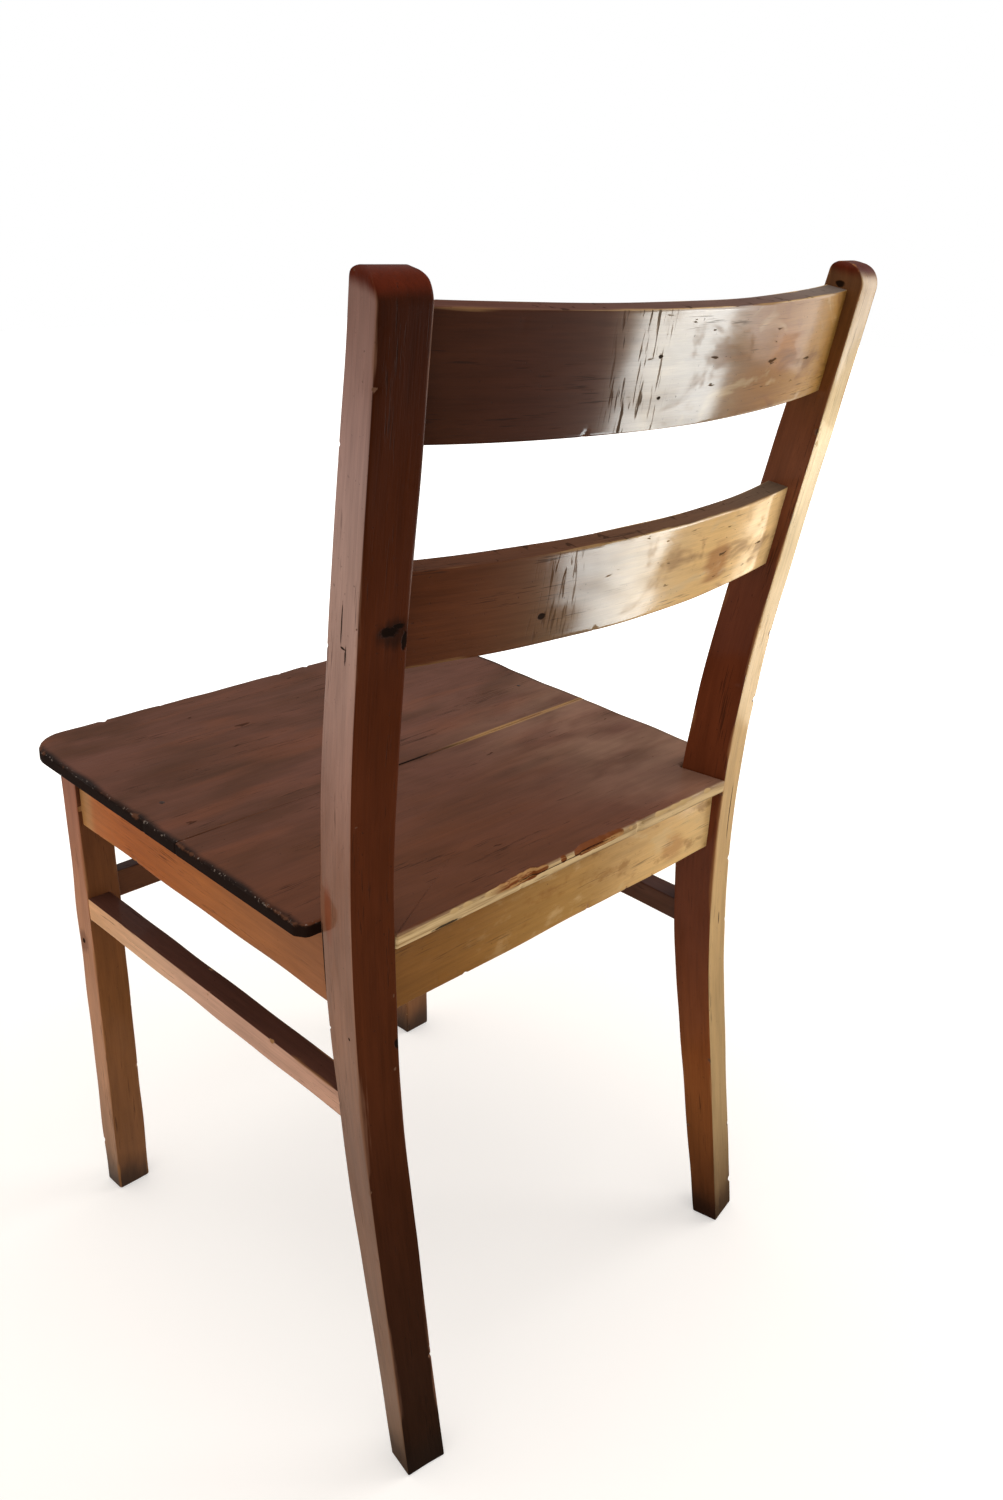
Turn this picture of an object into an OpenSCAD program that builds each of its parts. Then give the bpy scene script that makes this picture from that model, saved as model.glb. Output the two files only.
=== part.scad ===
// Old wooden kitchen chair with a plain solid seat and two bowed back slats.
// +Z is up, the chair faces -Y, +X is the sitter's left. Sizes in millimetres.

/* [Overall] */
// Height of the seat's top face at its rear edge, above the floor
seat_h = 436.5; // [380:0.5:500]
// Width of the seat over its two side edges
seat_w = 444; // [360:1:540]
// Depth of the seat from its front edge to its rear edge, along the boards
seat_depth = 413; // [340:1:500]
// Slope of the seat and of the frame under it, front edge higher
seat_tilt = 3.2; // [0:0.1:6]
// Height of the front top corner of the rear posts above the floor
post_h = 842; // [700:1:1000]

/* [Rear posts] */
// Step from the seat's side edge in to the outer rear corner of a rear post at the floor
foot_inset = 16.1; // [4:0.1:40]
// Thickness of the plank that each post is cut from
post_t = 32; // [22:0.5:44]
// Turn of each plank about the vertical, so the backs of the posts look outward
post_turn = 9.9; // [0:0.1:18]
// Outward lean of each post over its whole height
post_splay = 1.95; // [0:0.05:4]
// Backward lean of the foot below the seat
foot_lean = 8.3; // [2:0.1:12]
// Backward rake of the post above the seat
rake = 10.2; // [4:0.1:16]
// Distance below the seat where the foot's line and the back's line would cross
bend_drop = 31.5; // [0:0.5:60]
// Radius of the bend between foot and back
bend_r = 1200; // [600:10:2000]
// Depth of the post at the floor
foot_d = 24; // [18:0.5:40]
// Depth of the post at the seat
waist_d = 40.5; // [30:0.5:56]
// Depth of the post at its top
top_d = 28.5; // [18:0.5:40]
// Rounding of the rear top corner
top_round_rear = 16; // [2:0.5:18]
// Rounding of the front top corner
top_round_front = 7; // [1:0.5:9]

/* [Front legs] */
// Step from the seat's side edge in to the outer face of a front leg
leg_inset = 23.6; // [4:0.1:40]
// Width of a front leg across the chair
leg_w = 31.3; // [22:0.1:44]
// Depth of a front leg from front to rear
leg_d = 23.5; // [18:0.1:44]
// Distance from the seat's front edge back to the front face of a leg
leg_back = 6.2; // [2:0.1:40]
// Rounding of the long edges of the front legs
leg_round = 1.5; // [0.5:0.1:4]

/* [Aprons] */
// Height of the rear apron, and of the side aprons at the rear posts
apron_h = 54.5; // [36:0.5:80]
// Height of the front apron, and of the side aprons at the front legs
apron_front_h = 63; // [44:0.5:90]
// Thickness of the aprons
apron_t = 18; // [12:0.5:24]
// Step from the outer face of a front leg in to the face of the side apron
apron_inset_front = 4; // [0:0.1:10]
// Step from the outer front corner of a rear post in to the face of the side apron
apron_inset_rear = 3; // [0:0.1:10]
// Step from the seat's rear edge in to the rear face of the rear apron
rear_apron_inset = 10.6; // [2:0.1:20]
// Step from the front face of the legs back to the face of the front apron
front_apron_inset = 1.5; // [1:0.1:8]

/* [Stretchers] */
// Height of the side stretchers
stretcher_h = 20.5; // [14:0.5:34]
// Thickness of the side stretchers
stretcher_t = 21; // [12:0.5:24]
// Step from the outer face of a front leg in to the face of the side stretcher
stretcher_inset = 0.8; // [0.5:0.1:6]
// Step from the outer front corner of a rear post in to the face of the side stretcher
stretcher_step = 4; // [1:0.1:6]
// Drop from the seat's rear edge to the top of the left side stretcher at the rear post
stretcher_drop_left = 136.5; // [100:0.5:260]
// Drop from the seat's rear edge to the top of the right side stretcher at the rear post
stretcher_drop_right = 126.5; // [100:0.5:260]
// Slope of the side stretchers, front end higher
stretcher_tilt = 2.4; // [0:0.1:5]
// Height of the front stretcher
front_stretcher_h = 25; // [16:0.5:40]
// Thickness of the front stretcher
front_stretcher_t = 15; // [10:0.5:20]
// Drop from the seat's rear edge to the top of the front stretcher
front_stretcher_drop = 108.5; // [70:0.5:240]

/* [Seat boards] */
// Thickness of the seat boards
seat_t = 11; // [8:0.5:24]
// Distance from the seat's rear edge to the joint between the boards
joint_back = 192.6; // [120:0.1:260]
// Open joint between the two boards
joint_gap = 0.8; // [0:0.1:2]
// Radius of the front corners
corner_front = 30; // [6:0.5:50]
// Radius of the corners beside the posts
corner_rear = 10; // [2:0.5:16]
// Step from the inner rear corner of a post back to the seat's rear edge
seat_behind = 0.8; // [0:0.1:3]

/* [Back slats] */
// Thickness of both slats
slat_t = 17; // [12:0.5:20]
// Step from the rear face of a post forward to the rear face of a slat
slat_step = 10; // [4:0.1:16]
// Height of the top slat along its face
top_slat_h = 71; // [40:1:110]
// Drop from the top of the posts to the top slat's upper edge
top_slat_drop = 20; // [12:1:60]
// Bow of the top slat between the posts
top_slat_bow = 27; // [10:0.5:50]
// Height of the middle slat along its face
mid_slat_h = 61.5; // [30:0.5:90]
// Open height between the two slats at the posts
slat_gap = 70; // [20:0.5:120]
// Bow of the middle slat between the posts
mid_slat_bow = 20; // [10:0.5:50]
// Length of slat let into each post
slat_tenon = 13; // [8:0.5:18]

/* [Joinery] */
// Thickness of all tenons
tenon_t = 8; // [5:0.5:10]
// Shoulder left above and below a tenon
shoulder = 4; // [2:0.5:8]
// Length of the blind tenons
tenon_l = 10; // [7:0.5:14]
// Play round a tenon in its mortise, each side
play = 0.15; // [0.05:0.05:0.4]
// Play between the seat and the posts
seat_play = 0.4; // [0.1:0.1:1]

/* [Nails] */
// Diameter of a nail head
nail_head_d = 5; // [3:0.5:8]
// Thickness of a nail head
nail_head_t = 1; // [0.5:0.1:2]
// Diameter of a nail shank
nail_d = 2.2; // [1.5:0.1:3]
// Length of a nail
nail_l = 30; // [20:1:40]

/* [Hidden] */
$fn = 48;
// Reaches past the chair that cutting boxes use, and how far a tenon's root runs into its own piece.
wide = 400;
deep = 700;
past = 30;
root = 4;
// A through tenon is drawn this far before and behind the post's rear edge at the floor, then trimmed.
through_front = -130;
through_rear = 10;
// Lower top shoulder of the side apron's tenon, under the notch in the seat.
notch_clear = 4;
// Points of the post's outline are this far apart in height, and start below the floor.
outline_step = 14.5;
below_floor = 6;
end_piece = 60;

// The chair is set out from the outer rear corner of the feet (y = 0), then centred on its plan.
foot_x = seat_w / 2 - foot_inset;
bend_z = seat_h - bend_drop;

// Rear edge of the post, r towards the rear along the plank and z up: foot line, bend, back line.
bend_len = bend_r * tan((foot_lean + rake) / 2);
z1 = bend_z - bend_len * cos(foot_lean);
z2 = bend_z + bend_len * cos(rake);
rc = -tan(foot_lean) * z1 + bend_r * cos(foot_lean);
zc = z1 + bend_r * sin(foot_lean);
function line_low(z) = -tan(foot_lean) * z;
function line_up(z) = -tan(foot_lean) * bend_z + tan(rake) * (z - bend_z);
function line_bend(z) = rc - sqrt(bend_r * bend_r - (z - zc) * (z - zc));
function rear_r(z) = z < z1 ? line_low(z) : (z > z2 ? line_up(z) : line_bend(z));
// Depth grows from the foot to the seat and shrinks from the seat to the top.
function depth_low(z) = foot_d + (waist_d - foot_d) * z / seat_h;
function depth_up(z) = waist_d + (top_d - waist_d) * (z - seat_h) / (post_h - seat_h);
function depth(z) = z < seat_h ? depth_low(z) : depth_up(z);
function front_r(z) = rear_r(z) - depth(z);
// Place of a point of the left plank, w inward from its outer face.
function plank_x(r, w, z) = foot_x + tan(post_splay) * z + r * sin(post_turn) - w * cos(post_turn);
function plank_y(r, w) = r * cos(post_turn) + w * sin(post_turn);

// Points of a rounded corner b between a and c.
function unit(v) = v / norm(v);
function corner_half(a, b, c) = acos(unit(a - b) * unit(c - b)) / 2;
function corner_mid(a, b, c, r) = b + unit(unit(a - b) + unit(c - b)) * r / sin(corner_half(a, b, c));
function foot_of(p, b, a) = b + unit(a - b) * ((p - b) * unit(a - b));
function arc_step(m, p, q, t) = m + unit((p - m) * (1 - t) + (q - m) * t) * norm(p - m);
function arc_pts(m, p, q) = [for (i = [0:6]) arc_step(m, p, q, i / 6)];
function fillet(a, b, c, r) =
    arc_pts(corner_mid(a, b, c, r), foot_of(corner_mid(a, b, c, r), b, a),
            foot_of(corner_mid(a, b, c, r), b, c));

top_front = [front_r(post_h), post_h];
top_rear_z = post_h - top_d * sin(rake);
top_rear = [rear_r(top_rear_z), top_rear_z];
below_front = [front_r(post_h - end_piece), post_h - end_piece];
below_rear = [rear_r(post_h - end_piece), post_h - end_piece];
rear_edge = [for (z = [-below_floor:outline_step:post_h - end_piece]) [rear_r(z), z]];
front_edge = [for (z = [post_h - end_piece:-outline_step:-below_floor]) [front_r(z), z]];
top_edge = concat(fillet(below_rear, top_rear, top_front, top_round_rear),
                  fillet(top_rear, top_front, below_front, top_round_front));
plank = concat(rear_edge, top_edge, front_edge, [[front_r(-below_floor), -below_floor]]);

// Seat plane: y of its rear edge, and where its features lie.
seat_rear_y = plank_y(rear_r(seat_h), post_t) + seat_behind;
seat_front_y = seat_rear_y - seat_depth * cos(seat_tilt);
function seat_top(y) = seat_h + (seat_rear_y - y) * tan(seat_tilt);
function seat_under(y) = seat_top(y) - seat_t / cos(seat_tilt);
post_rear_y = plank_y(max([for (p = plank) p[0]]), post_t);

leg_x = seat_w / 2 - leg_inset;
leg_front_y = seat_front_y + leg_back;
leg_rear_y = leg_front_y + leg_d;
apron_rear_y = seat_rear_y - rear_apron_inset;
apron_front_y = leg_front_y + front_apron_inset;
post_front_y = plank_y(front_r(seat_h - apron_h), 0);
apron_x_front = leg_x - apron_inset_front;
apron_x_rear = plank_x(front_r(seat_h - apron_h), 0, seat_h - apron_h) - apron_inset_rear;
apron_run = post_front_y - leg_rear_y;
apron_turn = atan((apron_x_rear - apron_x_front) / apron_run);

// Lines and places that the joints share.
stretcher_z_left = seat_h - stretcher_drop_left;
stretcher_z_right = seat_h - stretcher_drop_right;
front_stretcher_z = seat_h - front_stretcher_drop;
stretcher_x_front = leg_x - stretcher_inset;
stretcher_mid = (stretcher_z_left + stretcher_z_right - stretcher_h) / 2;
stretcher_post_y = plank_y(front_r(stretcher_mid), 0);
stretcher_x_rear = plank_x(front_r(stretcher_mid), 0, stretcher_mid) - stretcher_step;
stretcher_run = stretcher_post_y - leg_rear_y;
stretcher_turn = atan((stretcher_x_rear - stretcher_x_front) / stretcher_run);
stretcher_rise = stretcher_run * tan(stretcher_tilt);
apron_post_z = seat_under(post_front_y) - apron_h;
rear_apron_z = seat_under(apron_rear_y) - apron_h;
front_apron_z = seat_under(apron_front_y + apron_t / 2) - apron_front_h;
front_stretcher_y = leg_front_y + (leg_d - front_stretcher_t) / 2;
blind_x = apron_x_front - apron_t / 2;
stub_r = (apron_rear_y - apron_t / 2 - post_t * sin(post_turn)) / cos(post_turn);

// Slats: half chord at the posts' inner faces, radius from the bow.
top_slat_z = post_h - top_slat_drop;
mid_slat_z = top_slat_z - top_slat_h - slat_gap;
function inner_x(z) = plank_x((rear_r(z) + front_r(z)) / 2, post_t, z);
function bow_radius(a, c) = (a * a + c * c) / (2 * c);
function slat_y(z) = plank_y(rear_r(z), post_t) - slat_step;

// Centres the plan between the seat's front lower edge and the rearmost point of the back.
rear_most = max(post_rear_y, slat_y(top_slat_z) + top_slat_bow * cos(rake));
front_most = seat_front_y - seat_t * sin(seat_tilt);
y_shift = -(front_most + rear_most) / 2;

// Nails: two through each side apron and three through the front one, as [x, y] before centring.
nail_behind_leg = 133;
nail_before_post = 66;
nail_in_front = 2.6;
nail_in_rear = 5;
nail_front_xs = [90, -5, -98];
nail_front_y = apron_front_y + 5;
function side_x(y) = apron_x_front + (apron_x_rear - apron_x_front) * (y - leg_rear_y) / apron_run;
nail_fore = [side_x(leg_rear_y + nail_behind_leg) - nail_in_front, leg_rear_y + nail_behind_leg];
nail_aft = [side_x(post_front_y - nail_before_post) - nail_in_rear, post_front_y - nail_before_post];
nail_spots = concat([nail_fore, nail_aft, [-nail_fore[0], nail_fore[1]], [-nail_aft[0], nail_aft[1]]],
                    [for (x = nail_front_xs) [x, nail_front_y]]);

// ---- shared shapes ----

// The left plank without any mortise.
module plank_left() {
    translate([foot_x, 0, 0]) rotate([0, post_splay, 0]) rotate([0, 0, 90 - post_turn]) rotate([90, 0, 0])
        translate([0, 0, -post_t]) linear_extrude(height = post_t) polygon(plank);
}

module both_planks() {
    plank_left();
    mirror([1, 0, 0]) plank_left();
}

// The left plank's own frame: x rearward, y inward from the outer face, z up.
module in_plank() {
    translate([foot_x, 0, 0]) rotate([0, post_splay, 0]) rotate([0, 0, 90 - post_turn]) children();
}

// Everything above the underside of the seat.
module above_seat() {
    on_seat() translate([-wide, -deep, -seat_t]) cube([2 * wide, deep + wide, wide]);
}

// A frame lying in the seat's top face, y = 0 at its rear edge.
module on_seat() {
    translate([0, seat_rear_y, seat_h]) rotate([-seat_tilt, 0, 0]) children();
}

// Two bowed slats share this shape. extra is the play all round.
module slat_shape(z_top, h, bow, extra) {
    a = inner_x(z_top);
    radius = bow_radius(a, bow);
    half = asin((a + slat_tenon + extra) / radius);
    centre = radius * cos(asin(a / radius));
    translate([0, slat_y(z_top), z_top]) rotate([-rake, 0, 0]) translate([0, -centre, -h])
        rotate([0, 0, 90 - half]) rotate_extrude(angle = 2 * half, $fn = 180)
            translate([radius - slat_t - extra, -extra]) square([slat_t + 2 * extra, h + 2 * extra]);
}

// A tenon in the left plank's own frame, centred at (r, w) with its lower end at z.
module plank_box(r0, r1, w0, w1, z0, z1, extra) {
    in_plank() translate([r0 - extra, w0 - extra, z0 - extra])
        cube([r1 - r0 + 2 * extra, w1 - w0 + 2 * extra, z1 - z0 + 2 * extra]);
}

// Through tenons of the left side apron and the left side stretcher, longer than the post is deep.
module apron_through(extra) {
    plank_box(through_front, through_rear, (post_t - tenon_t) / 2, (post_t + tenon_t) / 2,
              apron_post_z + shoulder, apron_post_z + apron_h - shoulder - notch_clear, extra);
}

module stretcher_through(z, extra) {
    plank_box(through_front, through_rear, (post_t - tenon_t) / 2, (post_t + tenon_t) / 2,
              z - stretcher_h + shoulder, z - shoulder, extra);
}

// Stub tenon of the rear apron in the left post.
module rear_apron_stub(extra) {
    plank_box(stub_r - tenon_t / 2, stub_r + tenon_t / 2, post_t - tenon_l, post_t + root,
              rear_apron_z + shoulder, rear_apron_z + apron_h - shoulder, extra);
}

// Blind tenons in the left front leg: side apron, side stretcher, front apron, front stretcher.
module box_between(x0, x1, y0, y1, z0, z1, extra) {
    translate([x0 - extra, y0 - extra, z0 - extra])
        cube([x1 - x0 + 2 * extra, y1 - y0 + 2 * extra, z1 - z0 + 2 * extra]);
}

module side_apron_blind(extra) {
    box_between(blind_x - tenon_t / 2, blind_x + tenon_t / 2, leg_rear_y - tenon_l, leg_rear_y + root,
                seat_under(leg_rear_y) - apron_front_h + shoulder, seat_under(leg_rear_y) - shoulder, extra);
}

module side_stretcher_blind(z, extra) {
    x = leg_x - stretcher_inset - stretcher_t / 2;
    box_between(x - tenon_t / 2, x + tenon_t / 2, leg_rear_y - tenon_l, leg_rear_y + root,
                z + stretcher_rise - stretcher_h + shoulder, z + stretcher_rise - shoulder, extra);
}

module front_apron_blind(extra) {
    y = apron_front_y + apron_t / 2;
    box_between(leg_x - leg_w - root, leg_x - leg_w + tenon_l, y - tenon_t / 2, y + tenon_t / 2,
                front_apron_z + shoulder, front_apron_z + apron_front_h - shoulder, extra);
}

module front_stretcher_blind(extra) {
    y = front_stretcher_y + front_stretcher_t / 2;
    box_between(leg_x - leg_w - root, leg_x - leg_w + tenon_l, y - tenon_t / 2, y + tenon_t / 2,
                front_stretcher_z - front_stretcher_h + shoulder, front_stretcher_z - shoulder, extra);
}

// Nails as a group, or their holes when extra is above zero.
module nails_at(extra) {
    for (p = nail_spots)
        on_seat() translate([p[0], (p[1] - seat_rear_y) / cos(seat_tilt), 0]) {
            translate([0, 0, -nail_l]) cylinder(d = nail_d + 2 * extra, h = nail_l, $fn = 24);
            translate([0, 0, -nail_head_t]) cylinder(d = nail_head_d + 2 * extra, h = nail_head_t, $fn = 32);
        }
}

// ---- posts and legs ----

module post_body(z) {
    difference() {
        plank_left();
        translate([0, -wide, -wide]) cube([wide, 2 * wide, wide]);
        apron_through(play);
        stretcher_through(z, play);
        rear_apron_stub(play);
        slat_shape(top_slat_z, top_slat_h, top_slat_bow, play);
        slat_shape(mid_slat_z, mid_slat_h, mid_slat_bow, play);
    }
}

module leg_body(z) {
    difference() {
        translate([leg_x - leg_w / 2, leg_front_y + leg_d / 2, 0]) linear_extrude(height = seat_h + end_piece) leg_section();
        above_seat();
        side_apron_blind(play);
        side_stretcher_blind(z, play);
        front_apron_blind(play);
        front_stretcher_blind(play);
    }
}

module leg_section() {
    square([leg_w - 2 * leg_round, leg_d], center = true);
    square([leg_w, leg_d - 2 * leg_round], center = true);
    for (sx = [-1, 1])
        for (sy = [-1, 1])
            translate([sx * (leg_w / 2 - leg_round), sy * (leg_d / 2 - leg_round)]) circle(r = leg_round, $fn = 24);
}

module rear_post_left() {
    color("saddlebrown") post_body(stretcher_z_left);
}

module rear_post_right() {
    color("saddlebrown") mirror([1, 0, 0]) post_body(stretcher_z_right);
}

module front_leg_left() {
    color("saddlebrown") leg_body(stretcher_z_left);
}

module front_leg_right() {
    color("saddlebrown") mirror([1, 0, 0]) leg_body(stretcher_z_right);
}

// ---- aprons ----

// A bar along the side of the chair, trimmed to leg and post. Its edges run straight from the
// leg's rear face to reach, and each end's two heights are given as [low, high].
module side_bar(x_front, turn, reach, at_leg, at_post, t) {
    more = (at_post - at_leg) * past / reach;
    low = at_leg - more;
    high = at_post + more;
    difference() {
        translate([x_front, leg_rear_y, 0]) rotate([0, 0, -turn]) rotate([90, 0, 90])
            translate([0, 0, -t]) linear_extrude(height = t)
                polygon([[-past, low[0]], [reach + past, high[0]], [reach + past, high[1]], [-past, low[1]]]);
        translate([0, leg_rear_y - wide, 0]) cube([wide, wide, deep]);
        plank_left();
    }
}

module side_apron_body() {
    at_leg = [seat_under(leg_rear_y) - apron_front_h, seat_top(leg_rear_y)];
    at_post = [apron_post_z, seat_top(post_front_y)];
    difference() {
        union() {
            difference() {
                side_bar(apron_x_front, apron_turn, apron_run, at_leg, at_post, apron_t);
                above_seat();
            }
            side_apron_blind(0);
            intersection() {
                plank_left();
                apron_through(0);
            }
        }
        nails_at(play);
    }
}

module side_apron_left() {
    color("peru") side_apron_body();
}

module side_apron_right() {
    color("peru") mirror([1, 0, 0]) side_apron_body();
}

module front_apron() {
    half = leg_x - leg_w;
    color("peru") difference() {
        union() {
            box_between(-half, half, apron_front_y, apron_front_y + apron_t, front_apron_z, seat_h + end_piece, 0);
            front_apron_blind(0);
            mirror([1, 0, 0]) front_apron_blind(0);
        }
        above_seat();
        nails_at(play);
    }
}

module rear_apron() {
    half = inner_x(seat_h) + post_t / 2;
    color("peru") union() {
        difference() {
            box_between(-half, half, apron_rear_y - apron_t, apron_rear_y, rear_apron_z, seat_h + past, 0);
            above_seat();
            both_planks();
        }
        intersection() {
            plank_left();
            rear_apron_stub(0);
        }
        mirror([1, 0, 0]) intersection() {
            plank_left();
            rear_apron_stub(0);
        }
    }
}

// ---- stretchers ----

module side_stretcher_body(z) {
    at_post = [z - stretcher_h, z];
    at_leg = [for (v = at_post) v + stretcher_rise];
    union() {
        side_bar(stretcher_x_front, stretcher_turn, stretcher_run, at_leg, at_post, stretcher_t);
        side_stretcher_blind(z, 0);
        intersection() {
            plank_left();
            stretcher_through(z, 0);
        }
    }
}

module side_stretcher_left() {
    color("peru") side_stretcher_body(stretcher_z_left);
}

module side_stretcher_right() {
    color("peru") mirror([1, 0, 0]) side_stretcher_body(stretcher_z_right);
}

module front_stretcher() {
    half = leg_x - leg_w;
    color("peru") union() {
        box_between(-half, half, front_stretcher_y, front_stretcher_y + front_stretcher_t,
                    front_stretcher_z - front_stretcher_h, front_stretcher_z, 0);
        front_stretcher_blind(0);
        mirror([1, 0, 0]) front_stretcher_blind(0);
    }
}

// ---- seat boards ----

// Room for the left post: front and inner faces of the plank, moved out by the play.
module post_notch() {
    r = min(front_r(seat_h), front_r(seat_h - 2 * seat_t)) - seat_play;
    in_plank() translate([r, -past, seat_h - past]) cube([wide, past + post_t + seat_play, 2 * past]);
}

module board(points) {
    difference() {
        on_seat() translate([0, 0, -seat_t]) linear_extrude(height = seat_t) polygon(points);
        post_notch();
        mirror([1, 0, 0]) post_notch();
        nails_at(play);
    }
}

module seat_board_front() {
    w = seat_w / 2;
    y = -joint_back - joint_gap / 2;
    left = fillet([w, y], [w, -seat_depth], [0, -seat_depth], corner_front);
    right = fillet([0, -seat_depth], [-w, -seat_depth], [-w, y], corner_front);
    color("sienna") board(concat([[w, y]], left, right, [[-w, y]]));
}

module seat_board_rear() {
    w = seat_w / 2;
    y = -joint_back + joint_gap / 2;
    yc = (plank_y(front_r(seat_h), 0) - seat_play - seat_rear_y) / cos(seat_tilt);
    xi = inner_x(seat_h) + post_t / 2;
    left = fillet([w, y], [w, yc], [0, yc], corner_rear);
    right = fillet([0, yc], [-w, yc], [-w, y], corner_rear);
    color("sienna") board(concat([[w, y]], left, [[xi, yc], [xi, 0], [-xi, 0], [-xi, yc]], right, [[-w, y]]));
}

// ---- slats and nails ----

module top_slat() {
    color("peru") slat_shape(top_slat_z, top_slat_h, top_slat_bow, 0);
}

module middle_slat() {
    color("peru") slat_shape(mid_slat_z, mid_slat_h, mid_slat_bow, 0);
}

module seat_nails() {
    color("dimgray") nails_at(0);
}

// Moves the whole chair so that the origin is on the floor, in the middle of its plan.
module centred() {
    translate([0, y_shift, 0]) children();
}

centred() rear_post_left();
centred() rear_post_right();
centred() front_leg_left();
centred() front_leg_right();
centred() front_apron();
centred() rear_apron();
centred() side_apron_left();
centred() side_apron_right();
centred() side_stretcher_left();
centred() side_stretcher_right();
centred() front_stretcher();
centred() seat_board_front();
centred() seat_board_rear();
centred() top_slat();
centred() middle_slat();
centred() seat_nails();
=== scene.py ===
import math

import bpy
import numpy as np
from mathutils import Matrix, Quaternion, Vector


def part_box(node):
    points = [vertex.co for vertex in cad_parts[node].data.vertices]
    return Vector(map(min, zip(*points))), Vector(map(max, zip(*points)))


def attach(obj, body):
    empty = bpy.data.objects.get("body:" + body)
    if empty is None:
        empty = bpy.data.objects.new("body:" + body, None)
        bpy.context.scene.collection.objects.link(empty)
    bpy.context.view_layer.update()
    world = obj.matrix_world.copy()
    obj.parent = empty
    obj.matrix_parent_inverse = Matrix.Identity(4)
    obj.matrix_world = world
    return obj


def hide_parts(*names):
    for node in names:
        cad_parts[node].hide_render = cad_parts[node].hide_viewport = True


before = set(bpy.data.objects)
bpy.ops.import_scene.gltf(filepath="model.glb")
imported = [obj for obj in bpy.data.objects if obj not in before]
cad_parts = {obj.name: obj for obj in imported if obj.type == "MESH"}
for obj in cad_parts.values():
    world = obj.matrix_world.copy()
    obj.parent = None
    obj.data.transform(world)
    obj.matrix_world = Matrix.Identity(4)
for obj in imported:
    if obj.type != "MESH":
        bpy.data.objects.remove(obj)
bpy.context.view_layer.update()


# ---- Room: floor, walls, light and camera ----
# A pale floor that runs out into a white room. The light is soft and comes from all round, with
# one tall window behind the chair on its right. Two narrow panes show only in the varnish.

class Wire:
    """One output of a finish's nodes. Arithmetic on wires adds Math nodes."""

    def __init__(self, finish, socket):
        self.finish = finish
        self.socket = socket

    def math(self, operation, *values):
        return self.finish.node("ShaderNodeMath", {"operation": operation}, *values)

    def __add__(self, other):
        return self.math("ADD", self, other)

    def __sub__(self, other):
        return self.math("SUBTRACT", self, other)

    def __rsub__(self, other):
        return self.math("SUBTRACT", other, self)

    def __mul__(self, other):
        return self.math("MULTIPLY", self, other)

    def __neg__(self):
        return self.math("MULTIPLY", self, -1.0)

    def __abs__(self):
        return self.math("ABSOLUTE", self)

    __radd__ = __add__
    __rmul__ = __mul__

    def either(self, other):
        """The larger of two masks."""
        return self.math("MAXIMUM", self, other)

    def ramp(self, low, high):
        """Smooth step: 0 below low, 1 above high, and the other way round if high is the smaller."""
        turned = high < low
        limits = (high, low) if turned else (low, high)
        ends = (1.0, 0.0) if turned else (0.0, 1.0)
        return self.finish.node("ShaderNodeMapRange", {"interpolation_type": "SMOOTHSTEP"},
                                self, *limits, *ends)


def tint(code):
    """Colour written as #rrggbb, as the linear amounts that nodes take."""
    parts = [int(code[i:i + 2], 16) / 255 for i in (1, 3, 5)]
    return tuple(((p + 0.055) / 1.055) ** 2.4 if p > 0.04045 else p / 12.92 for p in parts)


class Finish:
    """The nodes of one material, or of the world."""

    def __init__(self, holder):
        holder.use_nodes = True
        self.tree = holder.node_tree
        self.tree.nodes.clear()

    def node(self, kind, settings=None, *values, out=0, **named):
        """Adds a node. Settings come first, then its sockets in order or by name."""
        made = self.tree.nodes.new(kind)
        for key, value in (settings or {}).items():
            setattr(made, key, value)
        sockets = list(zip(made.inputs, values))
        sockets += [(made.inputs[key.replace("_", " ")], value) for key, value in named.items()]
        for socket, value in sockets:
            if isinstance(value, Wire):
                self.tree.links.new(value.socket, socket)
            elif value is not None:
                socket.default_value = value
        return Wire(self, made.outputs[out]) if made.outputs else made

    def vector(self, operation, *values, out=0):
        return self.node("ShaderNodeVectorMath", {"operation": operation}, *values, out=out)

    def attribute(self, name):
        return self.node("ShaderNodeAttribute", {"attribute_name": name}, out="Vector")

    def part(self, vector, letter):
        return self.node("ShaderNodeSeparateXYZ", None, vector, out=letter)

    def noise(self, vector, scale, detail, rough, warp=0.0):
        """Cloudy noise from 0 to 1 whose lumps are about 1 / scale metres across."""
        return self.node("ShaderNodeTexNoise", None, Vector=vector, Scale=scale, Detail=detail,
                         Roughness=rough, Distortion=warp)

    def blend(self, first, second, factor):
        """Mixes two colours, each a wire or a code."""
        mixed = self.tree.nodes.new("ShaderNodeMix")
        mixed.data_type = "RGBA"
        for index, value in ((0, factor), (6, first), (7, second)):
            if isinstance(value, Wire):
                self.tree.links.new(value.socket, mixed.inputs[index])
            else:
                mixed.inputs[index].default_value = (*tint(value), 1.0) if index else value
        return Wire(self, mixed.outputs[2])

    def shades(self, place, *stops):
        """Colour along place, in metres, easing through stops written as (place, code)."""
        made = self.tree.nodes.new("ShaderNodeValToRGB")
        made.color_ramp.interpolation = "B_SPLINE" if len(stops) > 3 else "EASE"
        for number, (at, code) in enumerate(stops):
            stop = made.color_ramp.elements[number] if number < 2 else made.color_ramp.elements.new(at)
            stop.position = at
            stop.color = (*tint(code), 1.0)
        self.tree.links.new(place.socket, made.inputs[0])
        return Wire(self, made.outputs[0])

    def output(self, surface):
        self.node("ShaderNodeOutputMaterial", None, surface)


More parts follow.
